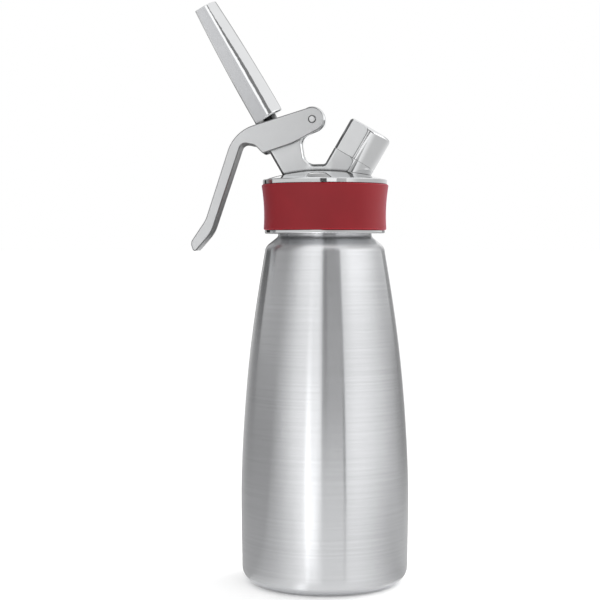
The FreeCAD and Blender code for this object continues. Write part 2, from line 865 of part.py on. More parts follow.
def make_check_valve():
    """Rubber duckbill that lets gas into the bottle and keeps cream out of the port."""
    high = inner_boss_end + check_depth
    outer = check_bore - insert_play
    body = rod(outer, inner_boss_end, high)
    lips = Part.makeCone(check_lip, check_slit + check_lip_wall, check_lip, V(0, 0, inner_boss_end), V(0, 0, -1))
    return to_port(body.fuse(lips).cut(rod(check_slit, 0, high + over)))


def make_check_valve_retainer():
    low = inner_boss_end - retainer_thickness
    return to_port(ring(check_lip + retainer_play, retainer_radius, low, inner_boss_end, 0))


def make_port_cap():
    body = rod(port_radius, cap_low, cap_top)
    block = Part.makeBox(port_radius, 2 * port_radius, cap_length, V(-port_radius, -port_radius, cap_low))
    corners = [
        edge for edge in block.Edges
        if abs(edge.CenterOfMass.x + port_radius) < 0.01 and edge.BoundBox.ZLength > over
    ]
    body = body.fuse(block.makeFillet(cap_side_corner, corners)).removeSplitter()
    top = [edge for edge in body.Edges if edge.BoundBox.ZMin > cap_top - 0.01]
    body = body.makeFillet(cap_edge, top)
    span = 2 * port_radius
    flats = [
        (-span, cap_low - over, 0),
        (-span, cap_top - cap_flat_lip, 0),
        (cap_flat_right, cap_top - cap_flat_lip, cap_flat_corner),
        (cap_flat_right, cap_low - over, 0),
    ]
    body = body.cut(slab(flats, port_radius + over).cut(slab(flats, flat_half)))
    hollow = rod(stub_thread_radius + cap_play, cap_low - over, cap_ceiling)
    return to_port(body.cut(hollow))


def make_cap_liner():
    return to_port(rod(stub_thread_radius, cap_ceiling - liner_thickness, cap_ceiling))


# ---------------------------------------------------------------- write the pieces
pieces = {
    "bottle": make_bottle,
    "head_gasket": make_head_gasket,
    "head_casting": make_head_casting,
    "grip_sleeve": make_grip_sleeve,
    "valve_guide": make_valve_guide,
    "stem_oring": make_stem_oring,
    "spring_washer": make_spring_washer,
    "valve_spring": make_valve_spring,
    "valve_stem": make_valve_stem,
    "valve_poppet": make_valve_poppet,
    "valve_seal": make_valve_seal,
    "stem_collar": make_stem_collar,
    "nozzle": make_nozzle,
    "nozzle_oring": make_nozzle_oring,
    "lever": make_lever,
    "lever_pin": make_lever_pin,
    "pierce_holder": make_pierce_holder,
    "piercing_pin": make_piercing_pin,
    "micro_filter": make_micro_filter,
    "charger_seal": make_charger_seal,
    "check_valve": make_check_valve,
    "check_valve_retainer": make_check_valve_retainer,
    "port_cap": make_port_cap,
    "cap_liner": make_cap_liner,
}

os.makedirs("parts", exist_ok=True)
for name, make in pieces.items():
    shape = make()
    solids = shape.Solids
    print(f"{name:22s} solids {len(solids)} volume {shape.Volume:10.1f} valid {shape.isValid()}")
    if len(solids) == 1:
        shape = solids[0]
    shape.exportStep(f"parts/{name}.step")
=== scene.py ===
"""Finishes, threads, spring, stage and camera of a whipped cream dispenser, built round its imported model."""

import math

import bmesh
import bpy
from bpy.props import FloatProperty, FloatVectorProperty, IntProperty, PointerProperty
from mathutils import Matrix, Vector


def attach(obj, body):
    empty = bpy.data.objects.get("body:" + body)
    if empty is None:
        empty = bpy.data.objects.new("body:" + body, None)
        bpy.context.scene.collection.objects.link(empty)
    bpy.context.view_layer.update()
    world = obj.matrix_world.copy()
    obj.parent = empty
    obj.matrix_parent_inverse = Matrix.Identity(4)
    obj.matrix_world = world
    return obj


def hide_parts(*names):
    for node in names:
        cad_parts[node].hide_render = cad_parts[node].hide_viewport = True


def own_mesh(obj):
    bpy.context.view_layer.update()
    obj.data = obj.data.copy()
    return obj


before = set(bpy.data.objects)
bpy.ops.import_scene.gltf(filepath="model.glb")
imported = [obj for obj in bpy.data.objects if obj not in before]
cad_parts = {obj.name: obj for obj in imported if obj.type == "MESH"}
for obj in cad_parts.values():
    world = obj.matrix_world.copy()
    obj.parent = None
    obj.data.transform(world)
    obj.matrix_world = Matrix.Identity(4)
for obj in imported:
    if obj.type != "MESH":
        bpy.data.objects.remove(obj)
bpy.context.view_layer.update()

bl_info = {
    "name": "Whipped Cream Dispenser",
    "version": (1, 0, 0),
    "blender": (4, 5, 0),
    "location": "3D View > Sidebar > Dispenser",
    "description": "Dresses a whipped cream dispenser: steel, silicone, threads, spring and a soft studio",
    "category": "Add Mesh",
}

MM = 0.001
UP = Vector((0, 0, 1))
TILT = math.radians(30)                    # the valve's lean to the left and the charger port's to the right
VALVE_FOOT = Vector((0, 0, 189 * MM))      # where the valve's axis meets the bottle's
PORT_FOOT = Vector((0, 0, 190.6 * MM))     # where the charger port's axis meets it

# radii at a thread's root and at its crest, and where the thread starts
NECK_ROOT = 24.0 * MM
NECK_CREST = 24.9 * MM
NECK_THREAD_LOW = 182 * MM
PORT_ROOT = 9.1 * MM
PORT_CREST = 9.5 * MM
PORT_THREAD_LOW = 32.5 * MM                # along the port's axis

# the room of the valve's spring, along the valve's axis
SPRING_SEAT = 28.0 * MM
COLLAR_FOOT = 47.7 * MM

DISC_TOP = 207.5 * MM                      # the head is polished up to here
HEAD_SHADE_FADES = 219 * MM                      # the painted shade in the head's corners mostly stops above this height
LEVER_SHADE_FADES = 226 * MM                     # and the lever's above this one, with its painted dark edges that face right
CAMERA_TURN = 2.5                          # degrees that the camera stands to the right of the -Y axis


# ---------------------------------------------------------------- small tools
def linear(code):
    """The linear colour of an sRGB hex value such as #C8102E."""
    parts = [int(code[place:place + 2], 16) / 255 for place in (1, 3, 5)]
    return [part / 12.92 if part <= 0.04045 else ((part + 0.055) / 1.055) ** 2.4 for part in parts] + [1]


def add_node(tree, kind, links=None, **settings):
    """One node with its settings, and a value or a link for each socket named or numbered in links."""
    node = tree.nodes.new(kind)
    for name, value in settings.items():
        setattr(node, name, value)
    for socket, value in (links or {}).items():
        if isinstance(value, bpy.types.NodeSocket):
            tree.links.new(value, node.inputs[socket])
        else:
            node.inputs[socket].default_value = value
    return node


def start_material(name):
    """An empty material and its node tree."""
    material = bpy.data.materials.new(name)
    material.use_nodes = True
    material.node_tree.nodes.clear()
    return material, material.node_tree


def finish_material(tree, shader):
    """Give the tree its output."""
    add_node(tree, "ShaderNodeOutputMaterial", {"Surface": shader})


def dress(node_name, material):
    """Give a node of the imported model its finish."""
    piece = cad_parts[node_name]
    piece.data.materials.clear()
    piece.data.materials.append(material)


def new_object(name, mesh, material):
    """An object in the scene that shows a mesh in one material."""
    mesh.materials.append(material)
    item = bpy.data.objects.new(name, mesh)
    bpy.context.scene.collection.objects.link(item)
    return item


def new_piece(name, mesh, material, body):
    """A piece of the scene's own that rides on a body and shows one material."""
    piece = new_object(name, mesh, material)
    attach(piece, body)
    return piece


def tilted(lean, foot):
    """The place and lean of the valve's axis (lean below zero) or the charger port's axis (above zero)."""
    return Matrix.Translation(foot) @ Matrix.Rotation(lean, 4, "Y")


def plane_beside(lean, foot, offset):
    """A plane along a tilted axis, the offset to its right: the plane's normal and how far out it stands."""
    across = Vector((math.cos(lean), 0, -math.sin(lean)))
    return across, across.dot(foot) + offset


def around(angle):
    """The direction of an angle about the Z axis."""
    return Vector((math.cos(angle), math.sin(angle), 0))


def swept_mesh(name, sections, smooth_angle=35):
    """A closed skin over rings of points, each ring the same length, capped at both ends."""
    mesh = bpy.data.meshes.new(name)
    form = bmesh.new()
    rings = [[form.verts.new(point) for point in section] for section in sections]
    for first, second in zip(rings, rings[1:]):
        for place in range(len(first)):
            after = (place + 1) % len(first)
            form.faces.new((first[place], first[after], second[after], second[place]))
    form.faces.new(list(reversed(rings[0])))
    form.faces.new(rings[-1])
    bmesh.ops.recalc_face_normals(form, faces=form.faces)
    form.to_mesh(mesh)
    form.free()
    mesh.shade_smooth()
    mesh.set_sharp_from_angle(angle=math.radians(smooth_angle))
    return mesh


def thread_mesh(name, root, crest, pitch, turns, low, place):
    """A rounded thread ridge wound round an axis, fading into its root over a third of a turn at each end."""
    steps_a_turn = 72
    fading_steps = steps_a_turn / 3
    least_rise = 0.02 * MM
    sunk = 0.06 * MM
    count = round(turns * steps_a_turn)
    sections = []
    for step in range(count + 1):
        angle = math.tau * step / steps_a_turn
        share = min(1, min(step, count - step) / fading_steps)
        rise = (crest - root) * share + least_rise
        middle = low + pitch * step / steps_a_turn
        # out from the root, and along the axis in pitches
        flank = [(-sunk, 0.40), (0.35 * rise, 0.30), (0.9 * rise, 0.16), (rise, 0.07)]
        outline = [(out, -along) for out, along in flank] + flank[::-1]
        sections.append([place @ (around(angle) * (root + out) + UP * (middle + along * pitch))
                         for out, along in outline])
    return swept_mesh(name, sections)


def spring_mesh(name, spring, low, high, place):
    """A coil spring between two heights. Its first and last turn lie nearly flat, as a ground spring's do."""
    steps_a_turn = 48
    sides = 12
    flat_turns = 0.8
    flat_rise = 0.85 * spring.wire             # how far a flat turn still climbs
    wire_radius = spring.wire / 2
    count = spring.turns * steps_a_turn
    corners = [math.tau * side / sides for side in range(sides)]
    sections = []
    for step in range(count + 1):
        share = step / count
        climb = (share * spring.turns - flat_turns) / (spring.turns - 2 * flat_turns)
        climb = min(1, max(0, climb))
        start = low + wire_radius + min(1, share * spring.turns / flat_turns) * flat_rise
        end = high - wire_radius - min(1, (1 - share) * spring.turns / flat_turns) * flat_rise
        out = around(math.tau * spring.turns * share)
        centre = out * spring.radius + UP * (start + (end - start) * climb)
        sections.append([place @ (centre + (out * math.cos(corner) + UP * math.sin(corner)) * wire_radius)
                         for corner in corners])
    return swept_mesh(name, sections, 60)


# ---------------------------------------------------------------- finishes
def brushed_bottle_steel(settings):
    """Deep-drawn 18/8 stainless steel, brushed on a lathe: crisp round the body, long smears up and down."""
    material, tree = start_material("brushed_stainless_bottle")
    place = add_node(tree, "ShaderNodeTexCoord").outputs["Object"]
    # grit 240 leaves lines about 0.1 mm apart, drawn 0.7 mm apart so that they show; each is about 70 mm long
    line_spacing = 0.7 * MM
    lines_a_metre = 14
    lines = add_node(tree, "ShaderNodeVectorMath", {
        0: place, 1: (lines_a_metre, lines_a_metre, 1 / line_spacing)}, operation="MULTIPLY")
    brushing = add_node(tree, "ShaderNodeTexNoise", {
        "Vector": lines.outputs[0], "Scale": 1, "Detail": 4, "Roughness": 0.6})
    # faint handling marks, 25 mm across
    marks = add_node(tree, "ShaderNodeTexNoise", {"Vector": place, "Scale": 1 / (25 * MM), "Detail": 2})
    tint = add_node(tree, "ShaderNodeMapRange", {
        "Value": brushing.outputs["Fac"], "From Min": 0.3, "From Max": 0.7,
        "To Min": 0.945, "To Max": 1.015})
    colour = add_node(tree, "ShaderNodeMix", {0: 1.0, 6: linear("#D6D7D9"), 7: tint.outputs[0]},
                      data_type="RGBA", blend_type="MULTIPLY")
    rough = add_node(tree, "ShaderNodeMapRange", {
        "Value": marks.outputs["Fac"], "From Min": 0.3, "From Max": 0.7,
        "To Min": settings.bottle_roughness - 0.02, "To Max": settings.bottle_roughness + 0.02})
    bump = add_node(tree, "ShaderNodeBump", {
        "Strength": 0.25, "Distance": 0.008 * MM, "Height": brushing.outputs["Fac"]})
    round_body = add_node(tree, "ShaderNodeTangent", direction_type="RADIAL", axis="Z")
    shader = add_node(tree, "ShaderNodeBsdfPrincipled", {
        "Base Color": colour.outputs[2], "Metallic": 1.0, "Roughness": rough.outputs[0],
        "Anisotropic": settings.bottle_anisotropy, "Anisotropic Rotation": 0.25,
        "Tangent": round_body.outputs[0], "Normal": bump.outputs[0]})
    finish_material(tree, shader.outputs[0])
    return material


def painted_corner_shade(tree, reach, full=0.45):
    """Painted shade: corners within the reach of another face are darkened in the colour, standing in for the
    shade that falls there. The shade is full where this share of the surroundings is open."""
    unshaded_from = 0.85              # the share that leaves a place without shade
    darkest = 0.03
    corner = add_node(tree, "ShaderNodeAmbientOcclusion", {"Distance": reach}, samples=8)
    shade = add_node(tree, "ShaderNodeMapRange", {
        "Value": corner.outputs["AO"], "From Min": full, "From Max": unshaded_from,
        "To Min": darkest, "To Max": 1.0})
    return shade.outputs[0]


def painted_dark_edges(tree, facing, flat, height, flat_from, painted_edge_facing, less_shade_above):
    """How far a place lies on the painted dark edges: the narrow edges between a flat side and what is square
    to it, where the normal's X is between the two given limits, darkened to stand in for the dark they mirror.
    Above the given height the edges that face right don't count."""
    softness = 0.05
    faces_right = 0.3
    middle = sum(painted_edge_facing) / 2
    half = (painted_edge_facing[1] - painted_edge_facing[0]) / 2
    edge = add_node(tree, "ShaderNodeMapRange", {"Value": flat, "From Min": 0.12, "From Max": 0.3})
    beside_flat = add_node(tree, "ShaderNodeMapRange", {
        "Value": flat, "From Min": flat_from - 0.005, "From Max": flat_from + 0.01,
        "To Min": 1.0, "To Max": 0.0})
    across = facing.outputs["X"]
    off_middle = add_node(tree, "ShaderNodeMath", {0: across, 1: middle}, operation="SUBTRACT")
    off_middle = add_node(tree, "ShaderNodeMath", {0: off_middle.outputs[0]}, operation="ABSOLUTE")
    turned_to = add_node(tree, "ShaderNodeMapRange", {
        "Value": off_middle.outputs[0], "From Min": half - softness, "From Max": half + softness,
        "To Min": 1.0, "To Max": 0.0})
    low = add_node(tree, "ShaderNodeMath", {0: height, 1: less_shade_above}, operation="LESS_THAN")
    left = add_node(tree, "ShaderNodeMath", {0: across, 1: faces_right}, operation="LESS_THAN")
    kept = add_node(tree, "ShaderNodeMath", {0: low.outputs[0], 1: left.outputs[0]}, operation="MAXIMUM")
    for other in (beside_flat, turned_to, kept):
        edge = add_node(tree, "ShaderNodeMath", {0: edge.outputs[0], 1: other.outputs[0]},
                        operation="MULTIPLY")
    return edge.outputs[0]


def satin_and_polished(name, satin_code, polished_code, satin, polished, flat_from=0.985,
                       painted_edge_facing=(2.0, 2.0), above=0.0, left_of=None, shade_reach=1.5 * MM, full=0.45,
                       less_shade_above=1.0):
    """Cast stainless steel: flat sides blasted to a satin grey, round parts polished bright. The satin starts
    at a height and ends at a plane (left_of: its normal and how far out it stands). Painted shade: the narrow
    edges chosen by their facing are darkened, standing in for the dark they mirror, and the corners are
    darkened out to the given reach from another face, standing in for the shade that falls there; that reach
    is much shorter on the round side and above the given height."""
    satin_fade = 0.014
    painted_edge_level = 0.3
    round_side_shade_share = 0.15            # what is left of the painted corner shade's reach on the round side
    high_shade_share = 0.2             # and what is left of it high up, above the height where it fades
    shade_fade_within = 2 * MM
    material, tree = start_material(name)
    coordinates = add_node(tree, "ShaderNodeTexCoord")
    place = coordinates.outputs["Object"]
    height = add_node(tree, "ShaderNodeSeparateXYZ", {0: place}).outputs["Z"]
    facing = add_node(tree, "ShaderNodeSeparateXYZ", {0: coordinates.outputs["Normal"]})
    flat = add_node(tree, "ShaderNodeMath", {0: facing.outputs["Y"]}, operation="ABSOLUTE").outputs[0]

    high = add_node(tree, "ShaderNodeMath", {0: height, 1: above}, operation="GREATER_THAN")
    blasted = add_node(tree, "ShaderNodeMapRange", {
        "Value": flat, "From Min": flat_from, "From Max": flat_from + satin_fade})
    blasted = add_node(tree, "ShaderNodeMath", {0: blasted.outputs[0], 1: high.outputs[0]},
                       operation="MULTIPLY")
    reach = shade_reach
    if left_of:
        normal, stand = left_of
        out = add_node(tree, "ShaderNodeVectorMath", {0: place, 1: normal}, operation="DOT_PRODUCT")
        inside = add_node(tree, "ShaderNodeMath", {0: out.outputs["Value"], 1: stand},
                          operation="LESS_THAN")
        blasted = add_node(tree, "ShaderNodeMath", {0: blasted.outputs[0], 1: inside.outputs[0]},
                           operation="MULTIPLY")
        reach = add_node(tree, "ShaderNodeMapRange", {
            "Value": inside.outputs[0], "To Min": round_side_shade_share * shade_reach, "To Max": shade_reach}).outputs[0]
    blasted = blasted.outputs[0]

    # bead blasting leaves pits of about 0.05 mm, drawn 0.25 mm wide
    pits = add_node(tree, "ShaderNodeTexNoise", {
        "Vector": place, "Scale": 1 / (0.25 * MM), "Detail": 3, "Roughness": 0.65})
    pitted = add_node(tree, "ShaderNodeMapRange", {
        "Value": pits.outputs["Fac"], "From Min": 0.3, "From Max": 0.7,
        "To Min": satin - 0.03, "To Max": satin + 0.03})
    rough = add_node(tree, "ShaderNodeMix", {0: blasted, 2: polished, 3: pitted.outputs[0]},
                     data_type="FLOAT")
    depth = add_node(tree, "ShaderNodeMath", {0: pits.outputs["Fac"], 1: blasted}, operation="MULTIPLY")
    bump = add_node(tree, "ShaderNodeBump", {
        "Strength": 0.2, "Distance": 0.005 * MM, "Height": depth.outputs[0]})

    # handling wear in patches of 6 mm
    wear = add_node(tree, "ShaderNodeTexNoise", {"Vector": place, "Scale": 1 / (6 * MM), "Detail": 3})
    shade = add_node(tree, "ShaderNodeMapRange", {
        "Value": wear.outputs["Fac"], "From Min": 0.3, "From Max": 0.7, "To Min": 0.97, "To Max": 1.0})
    # painted shade: the chosen edges are darkened, standing in for the dark that these edges mirror
    edge = painted_dark_edges(tree, facing, flat, height, flat_from, painted_edge_facing, less_shade_above)
    edge = add_node(tree, "ShaderNodeMath", {0: edge, 1: high.outputs[0]}, operation="MULTIPLY")
    edge_shade = add_node(tree, "ShaderNodeMapRange", {
        "Value": edge.outputs[0], "To Min": 1.0, "To Max": painted_edge_level})
    # the painted corner shade's reach shrinks over this span above the given height
    shade_fade = add_node(tree, "ShaderNodeMapRange", {
        "Value": height, "From Min": less_shade_above, "From Max": less_shade_above + shade_fade_within,
        "To Min": 1.0, "To Max": high_shade_share})
    reach = add_node(tree, "ShaderNodeMath", {0: reach, 1: shade_fade.outputs[0]}, operation="MULTIPLY")
    # painted shade in the corners and on the edges, multiplied into the colour
    for other in (painted_corner_shade(tree, reach.outputs[0], full), edge_shade.outputs[0]):
        shade = add_node(tree, "ShaderNodeMath", {0: shade.outputs[0], 1: other}, operation="MULTIPLY")

    metal = add_node(tree, "ShaderNodeMix", {0: blasted, 6: linear(polished_code), 7: linear(satin_code)},
                     data_type="RGBA")
    colour = add_node(tree, "ShaderNodeMix", {0: 1.0, 6: metal.outputs[2], 7: shade.outputs[0]},
                      data_type="RGBA", blend_type="MULTIPLY")
    shader = add_node(tree, "ShaderNodeBsdfPrincipled", {
        "Base Color": colour.outputs[2], "Metallic": 1.0, "Roughness": rough.outputs[0],
        "Normal": bump.outputs[0]})
    finish_material(tree, shader.outputs[0])
    return material


def moulded_silicone(settings):
    """Compression-moulded silicone rubber, matt with a dusty bloom that catches light at the edges."""
    material, tree = start_material("moulded_silicone_red")
    coordinates = add_node(tree, "ShaderNodeTexCoord")
    place = coordinates.outputs["Object"]
    # the mould's fine erosion texture, about 0.15 mm, drawn 0.4 mm wide
    texture = add_node(tree, "ShaderNodeTexNoise", {
        "Vector": place, "Scale": 1 / (0.4 * MM), "Detail": 3, "Roughness": 0.6})
    # where hands have worn the bloom off, in patches of 18 mm
    patches = add_node(tree, "ShaderNodeTexNoise", {"Vector": place, "Scale": 1 / (18 * MM), "Detail": 2})
    tint = add_node(tree, "ShaderNodeMapRange", {
        "Value": patches.outputs["Fac"], "From Min": 0.3, "From Max": 0.7, "To Min": 0.93, "To Max": 1.05})
    colour = add_node(tree, "ShaderNodeMix", {0: 1.0, 6: (*settings.grip_colour, 1), 7: tint.outputs[0]},
                      data_type="RGBA", blend_type="MULTIPLY")
    # painted light: on the rounded top and bottom lips, found by how far the surface faces along Z, the colour
    # turns a more saturated red, standing in for light coming through the thin rubber
    facing = add_node(tree, "ShaderNodeSeparateXYZ", {0: coordinates.outputs["Normal"]})
    level = add_node(tree, "ShaderNodeMath", {0: facing.outputs["Z"]}, operation="ABSOLUTE")
    painted_lip_glow = add_node(tree, "ShaderNodeMapRange", {
        "Value": level.outputs[0], "From Min": 0.2, "From Max": 0.6})
    colour = add_node(tree, "ShaderNodeMix", {
        0: painted_lip_glow.outputs[0], 6: colour.outputs[2], 7: linear("#A8101F")}, data_type="RGBA")
    bump = add_node(tree, "ShaderNodeBump", {
        "Strength": 0.25, "Distance": 0.02 * MM, "Height": texture.outputs["Fac"]})
    rough = add_node(tree, "ShaderNodeMapRange", {
        "Value": texture.outputs["Fac"], "From Min": 0.3, "From Max": 0.7, "To Min": 0.5, "To Max": 0.58})
    shader = add_node(tree, "ShaderNodeBsdfPrincipled", {
        "Base Color": colour.outputs[2], "Roughness": rough.outputs[0], "IOR": 1.42,
        "Specular IOR Level": 0.3, "Sheen Weight": 0.26, "Sheen Roughness": 0.3,
        "Sheen Tint": linear("#F0B8D8"), "Normal": bump.outputs[0]})
    finish_material(tree, shader.outputs[0])
    return material


def turned_metal(name, code, roughness, marks, shade_reach=1.0 * MM):
    """Bar stock turned on a lathe. Its tool marks, about 0.05 mm apart, are drawn wider, in millimetres."""
    material, tree = start_material(name)
    place = add_node(tree, "ShaderNodeTexCoord").outputs["Object"]
    feed = add_node(tree, "ShaderNodeTexNoise", {
        "Vector": place, "Scale": 1 / (marks * MM), "Detail": 3, "Roughness": 0.6})
    rough = add_node(tree, "ShaderNodeMapRange", {
        "Value": feed.outputs["Fac"], "From Min": 0.3, "From Max": 0.7,
        "To Min": roughness - 0.04, "To Max": roughness + 0.04})
    bump = add_node(tree, "ShaderNodeBump", {
        "Strength": 0.2, "Distance": 0.01 * MM, "Height": feed.outputs["Fac"]})
    # painted shade: corners within the given reach of another face are darkened in the colour
    colour = add_node(tree, "ShaderNodeMix", {0: 1.0, 6: linear(code), 7: painted_corner_shade(tree, shade_reach)},
                      data_type="RGBA", blend_type="MULTIPLY")
    shader = add_node(tree, "ShaderNodeBsdfPrincipled", {
        "Base Color": colour.outputs[2], "Metallic": 1.0, "Roughness": rough.outputs[0],
        "Normal": bump.outputs[0]})
    finish_material(tree, shader.outputs[0])
    return material


def moulded_rubber_or_plastic(name, code, roughness, grain):
    """Moulded nitrile rubber or acetal. The mould's grain of 0.1 mm is drawn wider, in millimetres."""
    material, tree = start_material(name)
    place = add_node(tree, "ShaderNodeTexCoord").outputs["Object"]
    texture = add_node(tree, "ShaderNodeTexNoise", {
        "Vector": place, "Scale": 1 / (grain * MM), "Detail": 3})
    tint = add_node(tree, "ShaderNodeMapRange", {
        "Value": texture.outputs["Fac"], "From Min": 0.3, "From Max": 0.7, "To Min": 0.9, "To Max": 1.05})
    colour = add_node(tree, "ShaderNodeMix", {0: 1.0, 6: linear(code), 7: tint.outputs[0]},
                      data_type="RGBA", blend_type="MULTIPLY")
    bump = add_node(tree, "ShaderNodeBump", {
        "Strength": 0.2, "Distance": 0.02 * MM, "Height": texture.outputs["Fac"]})
    shader = add_node(tree, "ShaderNodeBsdfPrincipled", {
        "Base Color": colour.outputs[2], "Roughness": roughness, "Normal": bump.outputs[0]})
    finish_material(tree, shader.outputs[0])
    return material


# ---------------------------------------------------------------- settings
class FinishSettings(bpy.types.PropertyGroup):
    bottle_roughness: FloatProperty(name="Bottle roughness", description="Brushing of the bottle",
                                    default=0.25, min=0.05, max=0.8)
    bottle_anisotropy: FloatProperty(name="Bottle brushing",
                                     description="How far reflections smear up and down",
                                     default=1.0, min=0, max=1)
    grip_colour: FloatVectorProperty(name="Grip colour", description="Silicone of the grip sleeve",
                                     subtype="COLOR", size=3, default=linear("#840F1A")[:3])


class ThreadSettings(bpy.types.PropertyGroup):
    neck_pitch: FloatProperty(name="Neck pitch", description="Rise of the bottle's thread in one turn",
                              default=0.004, min=0.001, unit="LENGTH")
    neck_turns: FloatProperty(name="Neck turns", description="Turns of the bottle's thread", default=3.2,
                              min=1)
    port_pitch: FloatProperty(name="Port pitch", description="Rise of the charger port's thread in one turn",
                              default=0.002, min=0.001, unit="LENGTH")
    port_turns: FloatProperty(name="Port turns", description="Turns of the port's thread", default=5,
                              min=1)


class SpringSettings(bpy.types.PropertyGroup):
    wire: FloatProperty(name="Wire", description="Diameter of the spring's wire", default=0.001, min=0.0003,
                        unit="LENGTH")
    radius: FloatProperty(name="Radius", description="Radius of the coil at the wire's centre",
                          default=0.0046, min=0.001, unit="LENGTH")
    turns: IntProperty(name="Turns", description="Turns of the coil", default=7, min=3)


class StageSettings(bpy.types.PropertyGroup):
    floor_colour: FloatVectorProperty(name="Floor", description="Colour of the floor", subtype="COLOR",
                                      size=3, default=(0.998, 0.998, 0.998))
    wall_radius: FloatProperty(name="Wall", description="Radius of the ring of studio walls", default=0.36,
                               min=0.2, unit="LENGTH")
    wall_height: FloatProperty(name="Wall height", description="Height of the studio walls", default=0.9,
                               min=0.5, unit="LENGTH")
    wall_level: FloatProperty(name="Wall level", description="How bright the grey walls look in the steel",
                              default=0.36, min=0, max=1)
    focal_length: FloatProperty(name="Lens", description="Focal length in millimetres", default=87.6,
                                min=10)
    camera_place: FloatVectorProperty(name="Camera", description="Where the camera stands",
                                      subtype="TRANSLATION", unit="LENGTH",
                                      default=(0.0327, -0.7493, 0.1741))
    camera_aim: FloatVectorProperty(name="Aim", description="The point the camera looks at",
                                    subtype="TRANSLATION", unit="LENGTH",
                                    default=(-0.0128, -0.0006, 0.1448))


# ---------------------------------------------------------------- stage
def even(level):
    """The levels of a card that is lit the same all over."""
    return level, level, level


def glow_material(name, levels, rise=0.3, fall=0.3):
    """A lit card: its level goes from the left edge's to the middle's over the rise, a share of the card's
    width, and on to the right edge's over the fall."""
    left, middle, right = levels
    material, tree = start_material(name)
    card = add_node(tree, "ShaderNodeUVMap", uv_map="card")
    across = add_node(tree, "ShaderNodeSeparateXYZ", {0: card.outputs[0]}).outputs["X"]
    swell = add_node(tree, "ShaderNodeMapRange", {
        "Value": across, "From Min": 0.0, "From Max": rise, "To Min": left, "To Max": middle},
        interpolation_type="SMOOTHSTEP")
    drop = add_node(tree, "ShaderNodeMapRange", {
        "Value": across, "From Min": 1 - fall, "From Max": 1.0, "To Min": 0.0, "To Max": right - middle},
        interpolation_type="SMOOTHSTEP")
    level = add_node(tree, "ShaderNodeMath", {0: swell.outputs[0], 1: drop.outputs[0]}, operation="ADD")
    glow = add_node(tree, "ShaderNodeEmission", {"Strength": level.outputs[0]})
    finish_material(tree, glow.outputs[0])
    return material


def curved_card(name, angles, edges, material):
    """A card round the object, from one compass angle to another, that only reflections see. Angle 0 is where
    the camera stands and +90 is the right. For each direction, edges gives a point of either long edge."""
    degrees_a_step = 3
    fewest_steps = 8
    start, end = angles
    steps = max(fewest_steps, round(abs(end - start) / degrees_a_step))
    form = bmesh.new()
    layer = form.loops.layers.uv.new("card")
    columns = []
    for step in range(steps + 1):
        angle = math.radians(start + (end - start) * step / steps + CAMERA_TURN)
        out = Vector((math.sin(angle), -math.cos(angle), 0))
        columns.append([form.verts.new(point) for point in edges(out)])
    for step, (first, second) in enumerate(zip(columns, columns[1:])):
        face = form.faces.new((first[0], second[0], second[1], first[1]))
        for loop, across, up in zip(face.loops, (0, 1, 1, 0), (0, 0, 1, 1)):
            loop[layer].uv = ((step + across) / steps, up)
    mesh = bpy.data.meshes.new(name)
    form.to_mesh(mesh)
    form.free()
    card = new_object(name, mesh, material)
    card.visible_camera = False
    card.visible_diffuse = False
    card.visible_transmission = False
    card.visible_shadow = False
    return card


def wall_card(name, angles, radius, heights, levels, **spread):
    """A card that stands upright between two heights."""
    low, high = (UP * height for height in heights)
    return curved_card(name, angles, lambda out: (out * radius + low, out * radius + high),
                       glow_material(name, levels, **spread))


def ground_card(name, angles, height, radii, levels, **spread):
    """A card that lies flat over the floor, between two radii."""
    inner, outer = radii
    return curved_card(name, angles, lambda out: (out * inner + UP * height, out * outer + UP * height),
                       glow_material(name, levels, **spread))


def lay_floor(settings):
    """Matt white paper, far wider than the view."""
    paper, tree = start_material("matt_white_paper")
    place = add_node(tree, "ShaderNodeTexCoord").outputs["Object"]
    # the paper's fibres are about 2 mm long
    fibre = add_node(tree, "ShaderNodeTexNoise", {"Vector": place, "Scale": 1 / (2 * MM), "Detail": 2})
    bump = add_node(tree, "ShaderNodeBump", {
        "Strength": 0.05, "Distance": 0.01 * MM, "Height": fibre.outputs["Fac"]})
    shader = add_node(tree, "ShaderNodeBsdfPrincipled", {
        "Base Color": (*settings.floor_colour, 1), "Roughness": 1.0, "Specular IOR Level": 0.0,
        "Emission Color": (1, 1, 1, 1), "Emission Strength": 0.08, "Normal": bump.outputs[0]})
    finish_material(tree, shader.outputs[0])
    mesh = bpy.data.meshes.new("floor")
    form = bmesh.new()
    bmesh.ops.create_circle(form, cap_ends=True, segments=96, radius=30)
    form.to_mesh(mesh)
    form.free()
    new_object("floor", mesh, paper)


